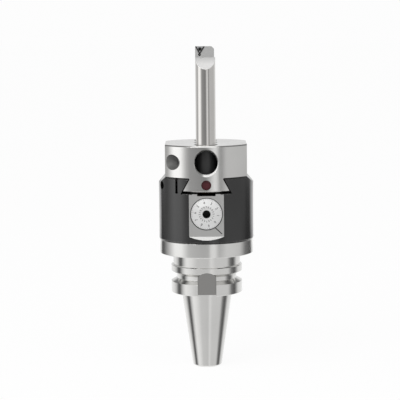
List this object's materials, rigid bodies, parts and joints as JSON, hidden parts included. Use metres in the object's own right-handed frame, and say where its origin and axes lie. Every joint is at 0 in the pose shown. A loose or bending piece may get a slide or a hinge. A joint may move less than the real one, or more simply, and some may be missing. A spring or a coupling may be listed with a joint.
{
  "type": "boring head",
  "caption": "Fine-adjusting boring head on a machine taper shank: black body, dovetail slide moved by a graduated dial, and a boring bar with a carbide insert.",
  "frame": {"origin": "centre of the taper's gauge plane, on the spindle axis", "axes": "+Z along the spindle axis towards the cutting end, -Y towards the dial, +X to the right of a viewer who faces the dial"},
  "size_m": [0.084, 0.084, 0.2856],
  "materials": {
    "ground_steel": "ground and bright",
    "satin_steel": "satin",
    "bar_steel": "nickel, satin",
    "black_steel": "black oxide, semi-gloss",
    "screw_steel": "black oxide",
    "bronze": "machined bronze",
    "carbide": "coated carbide, satin",
    "rubber": "matt",
    "red_plastic": "dark red, satin"
  },
  "bodies": {
    "head": {"taper_arbor": "ground_steel", "arbor_screws": "screw_steel", "arbor_dowels": "ground_steel", "head_body": "black_steel", "retaining_ring": "screw_steel", "front_bush": "bronze", "rear_bush": "bronze", "rear_cap": "screw_steel"},
    "dial": {"lead_screw": "satin_steel", "graduated_dial": "satin_steel", "dial_ring": "rubber"},
    "slide": {"slide": "ground_steel", "feed_nut": "bronze", "feed_nut_screws": "screw_steel", "port_plug": "red_plastic"},
    "bar": {"boring_bar": "bar_steel", "insert": "carbide"},
    "insert_screw": {"insert_screw": "screw_steel"},
    "clamp_screw_front": {"clamp_screw_front": "screw_steel"},
    "clamp_screw_centre": {"clamp_screw_centre": "screw_steel"},
    "clamp_screw_rear": {"clamp_screw_rear": "screw_steel"},
    "lock_screw_front": {"lock_screw_front": "screw_steel"},
    "lock_screw_middle": {"lock_screw_middle": "screw_steel"},
    "lock_screw_rear": {"lock_screw_rear": "screw_steel"}
  },
  "joints": [
    {"name": "dial_turn", "type": "hinge", "parent": "head", "child": "dial", "pos_m": [0, -0.039, 0.076], "axis": [0, 1, 0], "range_deg": [-2881, 2881]},
    {"name": "slide_travel", "type": "slide", "parent": "head", "child": "slide", "axis": [0, -1, 0], "range_m": [-0.004, 0.004]},
    {"name": "bar_turn", "type": "hinge", "parent": "slide", "child": "bar", "pos_m": [0, -0.0245, 0.12], "axis": [0, 0, 1], "range_deg": [-90, 90]},
    {"name": "insert_screw_turn", "type": "hinge", "parent": "bar", "child": "insert_screw", "pos_m": [-0.00455, -0.0245, 0.21765], "axis": [0, -1, 0], "range_deg": [0, 720]},
    {"name": "clamp_screw_front_turn", "type": "hinge", "parent": "slide", "child": "clamp_screw_front", "pos_m": [0, -0.0245, 0.1204], "axis": [-0.9848, -0.1736, 0], "range_deg": [0, 720]},
    {"name": "clamp_screw_centre_turn", "type": "hinge", "parent": "slide", "child": "clamp_screw_centre", "pos_m": [0, 0, 0.1204], "axis": [-1, 0, 0], "range_deg": [0, 720]},
    {"name": "clamp_screw_rear_turn", "type": "hinge", "parent": "slide", "child": "clamp_screw_rear", "pos_m": [0, 0.024, 0.1204], "axis": [-0.9848, 0.1736, 0], "range_deg": [0, 720]},
    {"name": "lock_screw_front_turn", "type": "hinge", "parent": "head", "child": "lock_screw_front", "pos_m": [-0.03, -0.016, 0.099], "axis": [-1, 0, 0], "range_deg": [0, 360]},
    {"name": "lock_screw_middle_turn", "type": "hinge", "parent": "head", "child": "lock_screw_middle", "pos_m": [-0.03, 0, 0.099], "axis": [-1, 0, 0], "range_deg": [0, 360]},
    {"name": "lock_screw_rear_turn", "type": "hinge", "parent": "head", "child": "lock_screw_rear", "pos_m": [-0.03, 0.016, 0.099], "axis": [-1, 0, 0], "range_deg": [0, 360]}
  ],
  "couplings": [
    {"joint": "dial_turn", "follows": "slide_travel", "rad_per_m": 12566}
  ]
}
